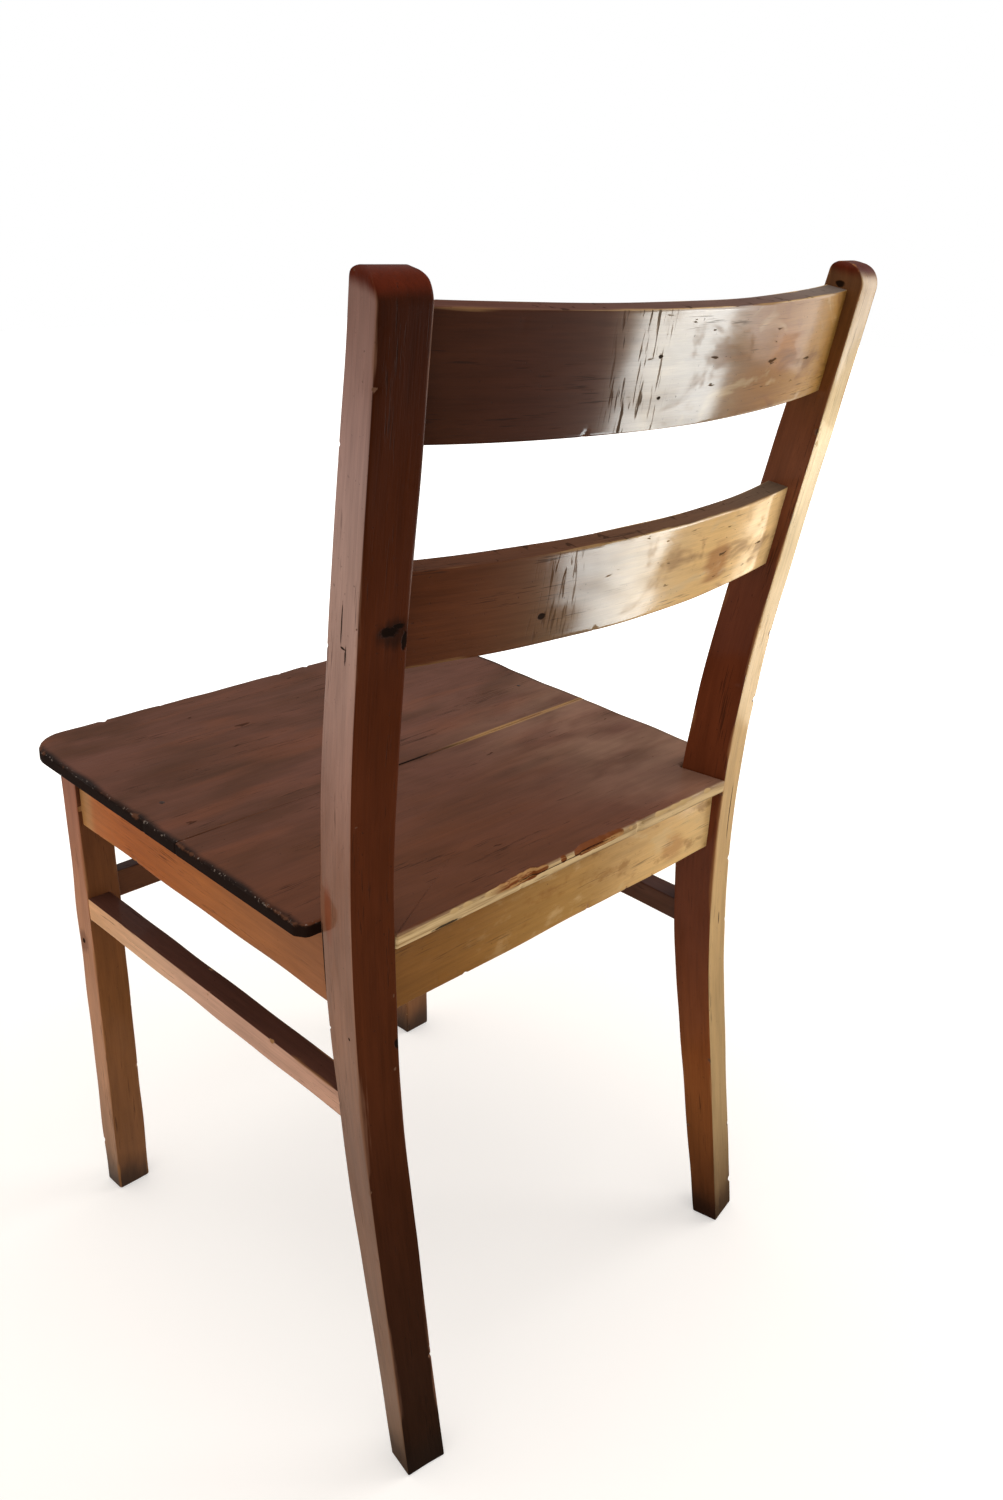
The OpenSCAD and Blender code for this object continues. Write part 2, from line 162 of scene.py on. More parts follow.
# Far from the chair the floor lightens to white. What the varnish mirrors of it is dark on one
# side, as in a room with furniture.
pale_floor = bpy.data.materials.new("pale_floor")
floor_coat = Finish(pale_floor)
rays = floor_coat.node("ShaderNodeLightPath", None, out="Is Camera Ray")
mirrored = floor_coat.node("ShaderNodeLightPath", None, out="Is Glossy Ray")
place = floor_coat.node("ShaderNodeTexCoord", None, out="Object")
far = floor_coat.vector("LENGTH", place, out="Value").ramp(0.45, 1.6)
paint = floor_coat.node("ShaderNodeBsdfDiffuse", None, (0.75, 0.71, 0.665, 1.0))
lift = floor_coat.node("ShaderNodeEmission", None, (1.0, 0.995, 0.99, 1.0), rays * (far * 0.55 + 0.4))
lit = floor_coat.node("ShaderNodeAddShader", None, paint, lift)
bearing = floor_coat.vector("NORMALIZE", place)
dim = floor_coat.vector("DOT_PRODUCT", bearing, (-0.26, 0.966, 0.0), out="Value").ramp(0.3, 0.56) * mirrored
dark = floor_coat.node("ShaderNodeBsdfDiffuse", None, (0.03, 0.025, 0.02, 1.0))
floor_coat.output(floor_coat.node("ShaderNodeMixShader", None, dim, lit, dark))

floor_half = 9
floor_corners = [(x * floor_half, y * floor_half, 0) for x, y in ((-1, -1), (1, -1), (1, 1), (-1, 1))]
floor_mesh = bpy.data.meshes.new("floor")
floor_mesh.from_pydata(floor_corners, [], [(0, 1, 2, 3)])
floor = bpy.data.objects.new("floor", floor_mesh)
floor_mesh.materials.append(pale_floor)
bpy.context.scene.collection.objects.link(floor)

# The room is white to look at, glows softly, and is dimmer where the varnish mirrors it.
world = bpy.data.worlds.new("room")
bpy.context.scene.world = world
sky = Finish(world)
direction = sky.node("ShaderNodeTexCoord", None, out="Generated")
doorway = sky.vector("DOT_PRODUCT", direction, (-0.25, 0.97, 0.0), out="Value").ramp(0.55, 0.95)
seen = sky.node("ShaderNodeLightPath", None, out="Is Camera Ray")
glanced = sky.node("ShaderNodeLightPath", None, out="Is Glossy Ray")
walls = sky.node("ShaderNodeBackground", None, (1.0, 1.0, 1.0, 1.0), 1.0)
glow = sky.node("ShaderNodeBackground", None, (1.0, 0.98, 0.96, 1.0), 0.72)
sheen = sky.node("ShaderNodeBackground", None, (1.0, 0.98, 0.97, 1.0), 0.4 - doorway * 0.37)
unseen = sky.node("ShaderNodeMixShader", None, glanced, glow, sheen)
whole = sky.node("ShaderNodeMixShader", None, seen, unseen, walls)
sky.node("ShaderNodeOutputWorld", None, whole)


def softbox(name, place, aim, wide, high, power, colour):
    """A rectangular lamp at place that faces aim."""
    lamp = bpy.data.lights.new(name, "AREA")
    lamp.shape = "RECTANGLE"
    lamp.size = wide
    lamp.size_y = high
    lamp.energy = power
    lamp.color = colour
    holder = bpy.data.objects.new(name, lamp)
    holder.location = place
    holder.rotation_euler = (Vector(aim) - Vector(place)).to_track_quat("-Z", "Y").to_euler()
    bpy.context.scene.collection.objects.link(holder)
    return holder


softbox("window", (-2.72, 1.36, 1.25), (0.0, 0.0, 0.6), 2.0, 2.5, 50.0, (1.0, 1.0, 1.0))
softbox("ceiling", (0.4, -0.3, 2.9), (0.0, 0.0, 0.0), 2.2, 2.2, 17.0, (1.0, 0.97, 0.93))
pane = softbox("pane", (-0.76, 0.801, 0.355), (0.028, 0.271, 0.355), 0.35, 0.65, 5.8, (0.93, 1.0, 1.0))
gleam = softbox("gleam", (-1.2, 0.31, 0.25), (0.0, 0.28, 0.25), 0.2, 0.44, 0.9, (1.0, 0.9, 0.7))
for shine_only in (pane, gleam):
    shine_only.visible_diffuse = False
    shine_only.visible_camera = False

eye = bpy.data.cameras.new("eye")
eye.lens = 30.7
eye.sensor_width = 36.0
camera = bpy.data.objects.new("eye", eye)
camera.location = (0.6507, 0.7076, 0.8617)
aim = Vector((-0.66764, -0.63863, -0.38264))
level = aim.to_track_quat("-Z", "Y")
camera.rotation_mode = "QUATERNION"
camera.rotation_quaternion = Quaternion(aim, math.radians(-1.4)) @ level
bpy.context.scene.collection.objects.link(camera)
bpy.context.scene.camera = camera
bpy.context.scene.view_settings.view_transform = "Standard"


# ---- Rear posts ----
# Each post is one length of hardwood sawn from a plank, swept back below the seat and raked back
# above it, with its top rounded over. Stained dark brown and varnished; the arrises are worn
# soft, the outer faces rubbed paler, the feet black with floor dirt.

def uneven(points, size, seed):
    """Smooth unevenness, mostly between -1 and 1 with a few peaks near 2: ten sine waves about
    size long, each running in a random direction, added up."""
    dice = np.random.default_rng(seed)
    total = np.zeros(points.shape[:-1])
    for _ in range(10):
        way = dice.normal(size=3)
        way *= math.tau / (size * dice.uniform(0.6, 1.6) * np.linalg.norm(way))
        total += np.sin(points @ way + dice.uniform(0, math.tau))
    return total / 3.3


def smooth(value, low, high):
    """Smooth step: 3t^2 - 2t^3, where t runs from 0 at low to 1 at high."""
    t = np.clip((value - low) / (high - low), 0.0, 1.0)
    return t * t * (3 - 2 * t)


def skin(name, grid, fields, slot, *nodes):
    """A closed mesh over rings of points, grid[row, round]. Neighbouring rings are joined by four-
    sided faces, and each end ring by a fan to its middle. The fan is wound so that the volume
    that the faces enclose is positive, so they all point outwards."""
    rows, count = grid.shape[:2]
    places = np.concatenate([grid.reshape(-1, 3), grid[0].mean(0)[None], grid[-1].mean(0)[None]])
    ring = np.arange(rows * count).reshape(rows, count)
    after = np.roll(ring, -1, axis=1)
    quads = np.stack([ring[:-1], after[:-1], after[1:], ring[1:]], -1).reshape(-1, 4)
    ends = [np.full(count, rows * count), np.full(count, rows * count + 1)]
    fans = np.concatenate([np.stack([after[0], ring[0], ends[0]], -1),
                           np.stack([ring[-1], after[-1], ends[1]], -1)])
    parts = [quads[:, [0, 1, 2]], quads[:, [0, 2, 3]], fans]
    corners = places[np.concatenate(parts)]
    if np.einsum("ij,ij->", corners[:, 0], np.cross(corners[:, 1], corners[:, 2])) < 0:
        quads, fans = quads[:, ::-1], fans[:, ::-1]
    mesh = bpy.data.meshes.new(name)
    mesh.vertices.add(len(places))
    mesh.vertices.foreach_set("co", places.astype(np.float32).ravel())
    mesh.loops.add(quads.size + fans.size)
    mesh.loops.foreach_set("vertex_index", np.concatenate([quads.ravel(), fans.ravel()]))
    mesh.polygons.add(len(quads) + len(fans))
    starts = [np.arange(len(quads)) * 4, quads.size + np.arange(len(fans)) * 3]
    mesh.polygons.foreach_set("loop_start", np.concatenate(starts))
    mesh.polygons.foreach_set("use_smooth", np.ones(len(quads) + len(fans), dtype=bool))
    mesh.update(calc_edges=True)
    for key, field in fields.items():
        values = np.concatenate([field.reshape(-1, 3), field[0].mean(0)[None], field[-1].mean(0)[None]])
        layer = mesh.attributes.new(key, "FLOAT_VECTOR", "POINT")
        layer.data.foreach_set("vector", values.astype(np.float32).ravel())
    piece = bpy.data.objects.new(name, mesh)
    bpy.context.scene.collection.objects.link(piece)
    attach(piece, "root")
    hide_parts(*nodes)
    return piece


def rectangle(count):
    """Points round a square of half side 1, count to a side, set closer towards the corners: a
    side's places are the sines of even steps from -90 to 90 degrees."""
    side = np.sin(np.linspace(-math.pi / 2, math.pi / 2, count, endpoint=False))
    one = np.ones_like(side)
    return np.concatenate([np.stack(pair, -1) for pair in
                           ((one, side), (-side, one), (-one, -side), (side, -one))])


def timber(path, way_a, way_b, half_a, half_b, arris, seed, sides=18, chipped=1.0):
    """A length of worn timber: a rounded rectangle carried along path. The outline is a rectangle
    with half sides half_a and half_b along way_a and way_b, whose points within arris of a corner
    are pulled on to a circle of that radius. The surface then sinks by long shallow waves, and
    the arrises by short bites where a noise passes a threshold.
    Returns the rings and their fields: wood is (a, b, length along) in metres, face is the
    outward direction (a, b) and how near an arris is, marks are bare wood and wear, and 0."""
    least_arris, arris_reach = 0.0006, 0.0035
    wave_depth, bite_depth, bite_from = 0.00014, 0.003, 1.42
    square = rectangle(sides)[None]
    along = np.concatenate([[0], np.cumsum(np.linalg.norm(np.diff(path, axis=0), axis=1))])
    size = np.stack(np.broadcast_arrays(half_a, half_b), -1).reshape(-1, 1, 2) * np.ones((len(path), 1, 1))
    reach = square * size
    rows = np.broadcast_to(along[:, None], reach.shape[:2])
    worn = uneven(np.stack([reach[..., 0] * 0.3, reach[..., 1] * 0.3, rows], -1), 0.09, seed)
    radius = np.clip(arris * (1 + 0.45 * worn), least_arris, size.min(-1) * 0.9)[..., None]
    core = np.clip(reach, radius - size, size - radius)
    away = reach - core
    away = away / np.maximum(np.linalg.norm(away, axis=-1, keepdims=True), 1e-9)
    flat = core + away * radius
    near = np.exp(-np.max(size - np.abs(flat), axis=-1) / arris_reach)
    wood = np.concatenate([flat, rows[..., None]], -1)
    sink = wave_depth * (1 + uneven(wood * (1, 1, 0.35), 0.03, seed + 1))
    bite = np.clip(uneven(wood, 0.012, seed + 2) - bite_from, 0, 1) * near * chipped
    sink = sink + bite_depth * bite
    flat = flat - away * sink[..., None]
    grid = path[:, None] + flat[..., :1] * way_a[..., None, :] + flat[..., 1:] * way_b[..., None, :]
    wood = np.concatenate([flat, rows[..., None]], -1)
    face = np.concatenate([away, near[..., None]], -1)
    marks = np.stack([smooth(bite, 0.05, 0.3), near * smooth(worn, -0.4, 0.8), np.zeros_like(bite)], -1)
    return grid, {"wood": wood, "face": face, "marks": marks}


seat_height = 0.4365
post_height = 0.842
post_thick = 0.032
post_turn = math.radians(9.9)
post_splay = math.tan(math.radians(1.95))
foot_lean = math.radians(8.3)
rake = math.radians(10.2)
crossing = 0.405
bend = 1.2
foot_depth, waist_depth, top_depth = 0.024, 0.0405, 0.0285
crown_rear, crown_front, crown_side = 0.016, 0.007, 0.0045
worn_foot = 0.0022
seat_overhang = 0.0008
foot_x = 0.2059
rearward = np.array([math.sin(post_turn), math.cos(post_turn), 0.0])
outward = np.array([math.cos(post_turn), -math.sin(post_turn), 0.0])
upward = np.array([post_splay, 0.0, 1.0])


def back_edge(z):
    """How far rearward the post's rear edge is at height z: the foot's line, a bend of radius
    bend and the back's line."""
    low = crossing - bend * math.tan((foot_lean + rake) / 2) * math.cos(foot_lean)
    high = crossing + bend * math.tan((foot_lean + rake) / 2) * math.cos(rake)
    centre_r = -math.tan(foot_lean) * low + bend * math.cos(foot_lean)
    centre_z = low + bend * math.sin(foot_lean)
    curve = centre_r - np.sqrt(bend ** 2 - np.clip(z - centre_z, -1, 1) ** 2)
    foot = -math.tan(foot_lean) * z
    back = -math.tan(foot_lean) * crossing + math.tan(rake) * (z - crossing)
    return np.where(z < low, foot, np.where(z > high, back, curve))


def post_depth(z):
    """Depth of the post: it grows evenly from foot to seat and shrinks evenly to the top."""
    lower = foot_depth + (waist_depth - foot_depth) * z / seat_height
    upper = waist_depth + (top_depth - waist_depth) * (z - seat_height) / (post_height - seat_height)
    return np.where(z < seat_height, lower, upper)


def on_plank(r, w, z):
    """Place on the left plank, before it's set down: r rearward, w inward from the outer face."""
    r, w, z = np.broadcast_arrays(r, w, z)
    return (foot_x, 0, 0) + r[..., None] * rearward - w[..., None] * outward + z[..., None] * upward


seat_back_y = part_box("seat_board_rear")[1][1]
foot_y = seat_back_y - seat_overhang - on_plank(back_edge(seat_height), post_thick, seat_height)[1]


def drawn_in(left, radius):
    """How far a rounded end has drawn in where left is still to go: radius - sqrt(radius^2 -
    (radius - left)^2)."""
    return radius - np.sqrt(np.clip(radius ** 2 - np.clip(radius - left, 0, None) ** 2, 0, None))


def post(side, seed):
    """Rings up the post. Each ring joins a point of the front edge to one of the rear edge, level
    at the floor and square to the post at its top, where the rings shrink to round the end over:
    a radius of 16 mm behind and 7 mm in front. The foot's rim is worn round. The left post has
    warped, so that its top leans 1.7 mm inward."""
    t = np.concatenate([np.linspace(0, 0.003, 9)[:-1], np.linspace(0.003, 0.972, 520),
                        np.linspace(0.9725, 1, 46)])
    front_z = t * post_height
    rear_z = t * (post_height - top_depth * math.sin(rake))
    front = np.stack([back_edge(front_z) - post_depth(front_z), front_z], -1)
    rear = np.stack([back_edge(rear_z), rear_z], -1)
    depth = np.linalg.norm(rear - front, axis=1)
    way = (rear - front) / depth[:, None]
    left = np.linalg.norm((front + rear) / 2 - (front[-1] + rear[-1]) / 2, axis=1)
    worn_rim = drawn_in(t * post_height, worn_foot)
    low = drawn_in(left, crown_front) + worn_rim
    high = depth - drawn_in(left, crown_rear) - worn_rim
    middle = front + way * ((low + high) / 2)[:, None]
    path = on_plank(middle[:, 0], post_thick / 2, middle[:, 1])
    warp = 0.0017 * smooth(t, 0.78, 0.95) if side > 0 else 0 * t
    swell = 0.0006 * smooth(t, 0.55, 0.75) if side > 0 else 0 * t
    path = path + (0, foot_y, 0) - (warp + swell)[:, None] * outward
    way_b = way[:, :1] * rearward + way[:, 1:] * upward
    half_a = post_thick / 2 + swell - drawn_in(left, crown_side) - worn_rim
    grid, fields = timber(path, outward[None], way_b, half_a, (high - low) / 2, 0.0013, seed)
    return grid * (side, 1, 1), fields


class OldWood(Finish):
    """Stained and varnished wood. Its patterns follow wood, the piece's own coordinates across,
    across and along in metres, and shift moves them so that no two pieces match. Noise drawn out
    twenty to thirty times along the length makes fibres and streaks, and drawn out less, clouds."""

    def __init__(self, name, shift):
        self.material = bpy.data.materials.new(name)
        super().__init__(self.material)
        self.wood = self.attribute("wood")
        self.a, self.along = (self.part(self.wood, letter) for letter in "XZ")
        face, marks = self.attribute("face"), self.attribute("marks")
        self.out_a, self.out_b, self.arris = (self.part(face, letter) for letter in "XYZ")
        self.bare, self.wear = (self.part(marks, letter) for letter in "XY")
        place = self.vector("ADD", self.wood, shift)
        self.fibre = self.drawn_out(place, 0.035, 1100.0, 2.0, 0.6)
        self.streak = self.drawn_out(place, 0.05, 230.0, 3.0, 0.6, 0.3)
        self.figure = self.drawn_out(place, 0.12, 70.0, 2.0, 0.5, 0.8)
        self.cloud = self.drawn_out(place, 0.45, 24.0, 3.0, 0.55, 0.3)
        self.speck = self.noise(place, 330.0, 3.0, 0.65)

    def drawn_out(self, place, packed, scale, detail, rough, warp=0.0):
        """Noise whose lumps are 1 / packed times as long as they're wide."""
        return self.noise(self.vector("MULTIPLY", place, (1.0, 1.0, packed)), scale, detail, rough, warp)

    def sided(self, rest, right, left=None, up=None):
        """Colour by side of the piece: rest all round, with the sides given laid over it."""
        coloured = rest
        for side, way in ((right, self.out_a), (left, -self.out_a), (up, self.out_b)):
            if side is not None:
                coloured = self.blend(coloured, side, way.ramp(0.45, 0.85))
        return coloured

    def away(self, place, size):
        """How far from place, counted in the half sizes size."""
        offset = self.vector("DIVIDE", self.vector("SUBTRACT", self.wood, place), size)
        return self.vector("LENGTH", offset, out="Value")

    def spot(self, place, size, ragged):
        """Mask of a ragged ellipsoid of half sizes size about place."""
        return (self.away(place, size) + (self.speck - 0.5) * ragged).ramp(1.15, 0.75)

    def patch(self, place, size):
        """Mask of a large stain with a cloudy edge about place."""
        ragged = (self.cloud + self.figure - 1.0) * 1.5 + (self.streak - 0.5) * 0.8
        return (self.away(place, size) + ragged).ramp(1.3, 0.45)

    def blacken(self, coloured, low, high, share):
        """Lays floor dirt over the foot: most of it below low, none above high."""
        foot = (self.along + (self.cloud - 0.5) * 0.05).ramp(high, low)
        return self.blend(coloured, "#241a14", foot * share)

    def scratches(self, squeeze, scale, low, high):
        """Mask of thin marks: a noise drawn out by squeeze, where it passes a threshold."""
        return self.noise(self.vector("MULTIPLY", self.wood, squeeze), scale, 2.0, 0.55, 0.4).ramp(low, high)

    def settle(self, coloured, rubbed="#a06f45", *, gloss, rough, cuts=None, raw="#a97c50",
               grain=1.0, shiny=1.0, coat_rough=0.09, plain=0.08):
        """Closes the finish: grain, rubbed arrises, raw chips, dirt and cuts are laid over the
        colour, and the varnish is dulled and roughened in the same places. gloss is how strong
        the varnish is, shiny where it's left, and plain the wood's own shine under it."""
        tone = (self.streak * 0.5 + self.fibre * 0.34 + self.figure * 0.42 + self.cloud * 0.5) * grain
        tone = tone + (1.0 - 0.88 * grain)
        coloured = self.node("ShaderNodeVectorMath", {"operation": "SCALE"}, coloured, Scale=tone)
        thin = (self.wear + (self.streak - 0.5) * 1.3 + (self.cloud - 0.5) * 1.1).ramp(0.45, 0.85)
        coloured = self.blend(coloured, rubbed, thin * 0.6)
        chips = (self.bare + (self.fibre - 0.5) * 0.5).ramp(0.3, 0.6)
        coloured = self.blend(coloured, raw, chips)
        pits = self.speck.ramp(0.66, 0.76).either((self.fibre * self.figure).ramp(0.34, 0.44)) * 0.55
        grime = pits.either(((self.cloud - 0.5) * 0.8).ramp(0.3, 0.8) * 0.85)
        coloured = self.blend(coloured, "#1a0f08", grime)
        relief = self.fibre * 0.35 + self.streak * 0.55 + self.cloud * 0.8 - pits * 0.6
        dull = thin.either(chips).either(grime)
        if cuts is not None:
            coloured = self.blend(coloured, "#120803", cuts * 0.92)
            relief = relief - cuts * 1.3
            dull = dull.either(cuts * 2.5)
        varnish = dull.ramp(1.0, 0.0) * (self.cloud.ramp(0.3, 0.6) * 0.5 + 0.5) * gloss * shiny
        bumps = self.node("ShaderNodeBump", None, Strength=0.55, Distance=0.0005, Height=relief)
        surface = self.node("ShaderNodeBsdfPrincipled", None, Base_Color=coloured,
                            Roughness=(self.cloud - 0.5) * 0.3 + dull * 0.2 + rough, Coat_Weight=varnish,
                            Normal=bumps, IOR=1.45, Specular_IOR_Level=plain, Coat_Roughness=coat_rough)
        self.output(surface)
        return self.material


def post_stain(label, shift, outer, inner, rear, cuts, stains):
    """The stain runs paler on the rubbed outer face than on the others, and the last 30 mm of each
    foot has gone black. On the right post the rear face is painted the palest: a painted
    highlight standing in for the varnish's glancing reflection of the bright room. cuts are the
    piece's own knots, cracks and holes, each a place, half sizes and raggedness; stains are soft
    patches, each a place, half sizes and a colour."""
    stain = OldWood(f"{label}_post_stain", shift)
    rest = stain.shades(stain.along, (0.0, "#3b2518"), (0.3, "#5d3522"), (0.6, "#66382a"), (0.84, "#5a2d20"))
    coloured = stain.sided(rest, right=stain.shades(stain.along, *outer),
                           left=stain.shades(stain.along, *inner), up=stain.shades(stain.along, *rear))
    crown = (stain.along + (stain.cloud - 0.5) * 0.012).ramp(0.838, 0.846)
    coloured = stain.blend(coloured, "#561d08", crown)
    coloured = stain.blacken(coloured, 0.004, 0.04, 0.65)
    for place, size, code in stains:
        coloured = stain.blend(coloured, code, stain.patch(place, size) * 0.7)
    marks = stain.spot(*cuts[0])
    for cut in cuts[1:]:
        marks = marks.either(stain.spot(*cut))
    rubbed = "#805a45" if label == "left" else "#a06f45"
    side_shine = abs(stain.out_a) if label == "left" else 1.0 - stain.out_b.ramp(0.3, -0.3)
    return stain.settle(coloured, rubbed, gloss=0.45, rough=0.42, cuts=marks, raw="#6e4d3a",
                        shiny=side_shine * (1.0 - crown), plain=0.06)


left_stain = post_stain(
    "left", (0.3, 0.1, 0.0),
    ((0.04, "#7d5a3e"), (0.18, "#8b6147"), (0.27, "#76503a"), (0.33, "#93664b"), (0.37, "#996b51"),
     (0.43, "#8a5d45"), (0.51, "#8f614b"), (0.58, "#a07565"), (0.68, "#b38f80"), (0.75, "#a68278"),
     (0.79, "#967064"), (0.84, "#80594c")),
    ((0.05, "#432519"), (0.25, "#6d4328"), (0.5, "#5e311b"), (0.84, "#56351f")),
    ((0.03, "#2b1a10"), (0.2, "#3f1f0f"), (0.35, "#53270f"), (0.5, "#54260f"), (0.66, "#4f2209"),
     (0.78, "#421a04"), (0.84, "#351303")),
    [((-0.0035, 0.0175, 0.6585), (0.0074, 0.003, 0.0036), 1.1),
     ((-0.0095, 0.0175, 0.6612), (0.0045, 0.003, 0.0018), 1.0),
     ((-0.0138, 0.0175, 0.651), (0.0019, 0.004, 0.006), 1.2),
     ((0.016, -0.001, 0.660), (0.003, 0.0007, 0.014), 0.5),
     ((0.016, 0.0045, 0.642), (0.003, 0.0008, 0.006), 1.2),
     ((0.016, 0.0015, 0.6455), (0.003, 0.003, 0.0008), 0.8),
     ((0.016, 0.0095, 0.3668), (0.002, 0.0012, 0.0012), 0.3),
     ((-0.0145, 0.0186, 0.3574), (0.0022, 0.003, 0.004), 0.8),
     ((0.016, -0.0185, 0.415), (0.003, 0.0008, 0.03), 0.4)],
    [((0.0165, -0.0095, 0.452), (0.006, 0.0045, 0.022), "#8a4526"),
     ((-0.005, 0.0175, 0.6575), (0.012, 0.006, 0.009), "#221006")])
right_stain = post_stain(
    "right", (0.0, 0.5, 0.2),
    ((0.05, "#543424"), (0.3, "#6e4632"), (0.5, "#7a5040"), (0.84, "#6b4436")),
    ((0.02, "#43210f"), (0.12, "#95582c"), (0.2, "#824420"), (0.3, "#6a341c"), (0.5, "#642f17"),
     (0.6, "#612b14"), (0.7, "#7c4a30"), (0.74, "#653115"), (0.79, "#7f5027"), (0.84, "#5f3a20")),
    # The rear shades are a painted highlight: the cream stands in for the varnish's glancing reflection of
    # the bright room.
    ((0.03, "#6b5036"), (0.1, "#a88b62"), (0.28, "#bd9966"), (0.43, "#caa573"), (0.6, "#cfab74"),
     (0.74, "#e6cd9a"), (0.84, "#ab8658")),
    [((-0.0165, -0.0025, 0.8351), (0.003, 0.0035, 0.0025), 0.8),
     ((0.0042, 0.0198, 0.404), (0.0009, 0.004, 0.028), 0.3),
     ((0.0014, 0.018, 0.3045), (0.0009, 0.003, 0.006), 0.5),
     ((-0.006, 0.019, 0.21), (0.0006, 0.003, 0.01), 0.6)], [])
for side, label, stain in ((1, "left", left_stain), (-1, "right", right_stain)):
    grid, fields = post(side, 3 if side > 0 else 5)
    piece = skin(f"post_{label}", grid, fields, "dark_stained_wood", f"rear_post_{label}")
    piece.data.materials.append(stain)


# ---- Front legs ----
# Straight square-cut legs, mortised for the aprons and stretchers, and stained like the posts.
# Each has a small knot halfway up its outer face, and the feet have soaked up dirt.

def straight(low, high, count):
    """Path of even steps between two places."""
    return np.array(low) + np.linspace(0, 1, count)[:, None] * (np.array(high) - np.array(low))


across = np.array([[1.0, 0.0, 0.0]])
inline = np.array([[0.0, 1.0, 0.0]])
upright = np.array([[0.0, 0.0, 1.0]])
leg_low, leg_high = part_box("front_leg_left")
leg_half_a = (leg_high[0] - leg_low[0]) / 2
leg_half_b = (leg_high[1] - leg_low[1]) / 2
leg_middle = ((leg_low[0] + leg_high[0]) / 2, (leg_low[1] + leg_high[1]) / 2)
leg_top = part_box("seat_board_front")[0][2] + 0.012
rim_end = 0.0025
knot_at = (0.0156, -0.004, 0.267)
for side, label in ((1, "left"), (-1, "right")):
    path = np.concatenate([straight((*leg_middle, 0.0), (*leg_middle, rim_end), 8)[:-1],
                           straight((*leg_middle, rim_end), (*leg_middle, leg_top), 300)])
    worn_rim = drawn_in(path[:, 2], worn_foot)
    grid, fields = timber(path, across, inline, leg_half_a - worn_rim, leg_half_b - worn_rim,
                          0.0019, 11 + side)
    piece = skin(f"leg_{label}", grid * (side, 1, 1), fields, "dark_stained_wood", f"front_leg_{label}")
    stain = OldWood(f"{label}_leg_stain", (0.7, 0.1 * side, 0.4))
    rest = stain.shades(stain.along, (0.03, "#72492a"), (0.2, "#86552c"), (0.38, "#744426"),
                        (0.44, "#3d2117"))
    rubbed = stain.shades(stain.along, (0.02, "#8d6647"), (0.12, "#c08b66"), (0.3, "#bb7f59"),
                          (0.42, "#9a5a40"))
    coloured = stain.blacken(stain.sided(rest, right=rubbed), 0.006, 0.045, 0.8)
    knot = stain.spot(knot_at, (0.003, 0.0022, 0.0026), 0.9)
    coloured = stain.blend(coloured, "#7d4a2c", stain.patch(knot_at, (0.006, 0.006, 0.010)) * 0.7)
    piece.data.materials.append(stain.settle(coloured, gloss=0.3, rough=0.45, cuts=knot))


# ---- Aprons ----
# Four rails under the seat, tenoned into the legs and posts. The side ones taper in height towards
# the back. Their varnish is thin and golden, and worn palest on the rear one, whose outer face is
# also painted lighter towards its right end: painted light and reflection from the window side.

seat_tilt = math.radians(3.2)
board_thick = 0.011


def seat_level(y):
    """Height of the seat's top face at y."""
    return seat_height + (seat_back_y - y) * math.tan(seat_tilt)


def rail(start, end, z_start, z_end, thick, arris, seed, count=200):
    """A level-sided rail between two plan places, on its outer face's line; z_start and z_end are
    its lower and upper edge at each end, and it runs straight between them."""
    t = np.linspace(0, 1, count)
    plan = np.array(start) + t[:, None] * (np.array(end) - np.array(start))
    run = np.array(end) - np.array(start)
    out = np.array([run[1], -run[0], 0.0]) / np.linalg.norm(run)
    low = z_start[0] + t * (z_end[0] - z_start[0])
    high = z_start[1] + t * (z_end[1] - z_start[1])
    path = np.concatenate([plan, ((low + high) / 2)[:, None]], -1) - out * thick / 2
    return timber(path, out[None], upright, thick / 2, (high - low) / 2, arris, seed)


apron_thick, apron_arris = 0.018, 0.0016
side_high_front, side_high_rear = 0.063, 0.0545
outer_front = leg_high[0] - 0.004
outer_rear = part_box("side_apron_left")[1][0] + 0.0002
side_start = leg_high[1] - 0.004
side_end = 0.1335
for side, label in ((1, "left"), (-1, "right")):
    front_top = seat_level(side_start) - board_thick
    rear_top = seat_level(side_end) - board_thick
    grid, fields = rail((outer_front, side_start), (outer_rear, side_end),
                        (front_top - side_high_front, front_top), (rear_top - side_high_rear, rear_top),
                        apron_thick, apron_arris, 21 + side)
    piece = skin(f"apron_{label}", grid * (side, 1, 1), fields, "worn_golden_wood", f"side_apron_{label}")
    amber = OldWood(f"{label}_apron_varnish", (0.2, 0.6, 0.3 * side))
    outer = amber.shades(amber.along, (0.004, "#c08a55"), (0.018, "#c48c56"), (0.026, "#c06a2c"),
                         (0.1, "#ae5a1a"), (0.17, "#b36526"), (0.25, "#ad6a36"), (0.34, "#9f6540"))
    coloured = amber.sided("#7c5232", right=outer)
    piece.data.materials.append(amber.settle(coloured, "#b07c48", gloss=0.14, rough=0.45))

rear_high, rear_half = 0.0545, 0.19
rear_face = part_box("rear_apron")[1][1]
rear_top = seat_level(rear_face) - board_thick - 0.0003
edges = (rear_top - rear_high, rear_top)
grid, fields = rail((rear_half, rear_face), (-rear_half, rear_face), edges, edges, apron_thick,
                    apron_arris, 27, 260)
piece = skin("apron_rear", grid, fields, "worn_golden_wood", "rear_apron")
amber = OldWood("rear_apron_varnish", (0.1, 0.9, 0.8))
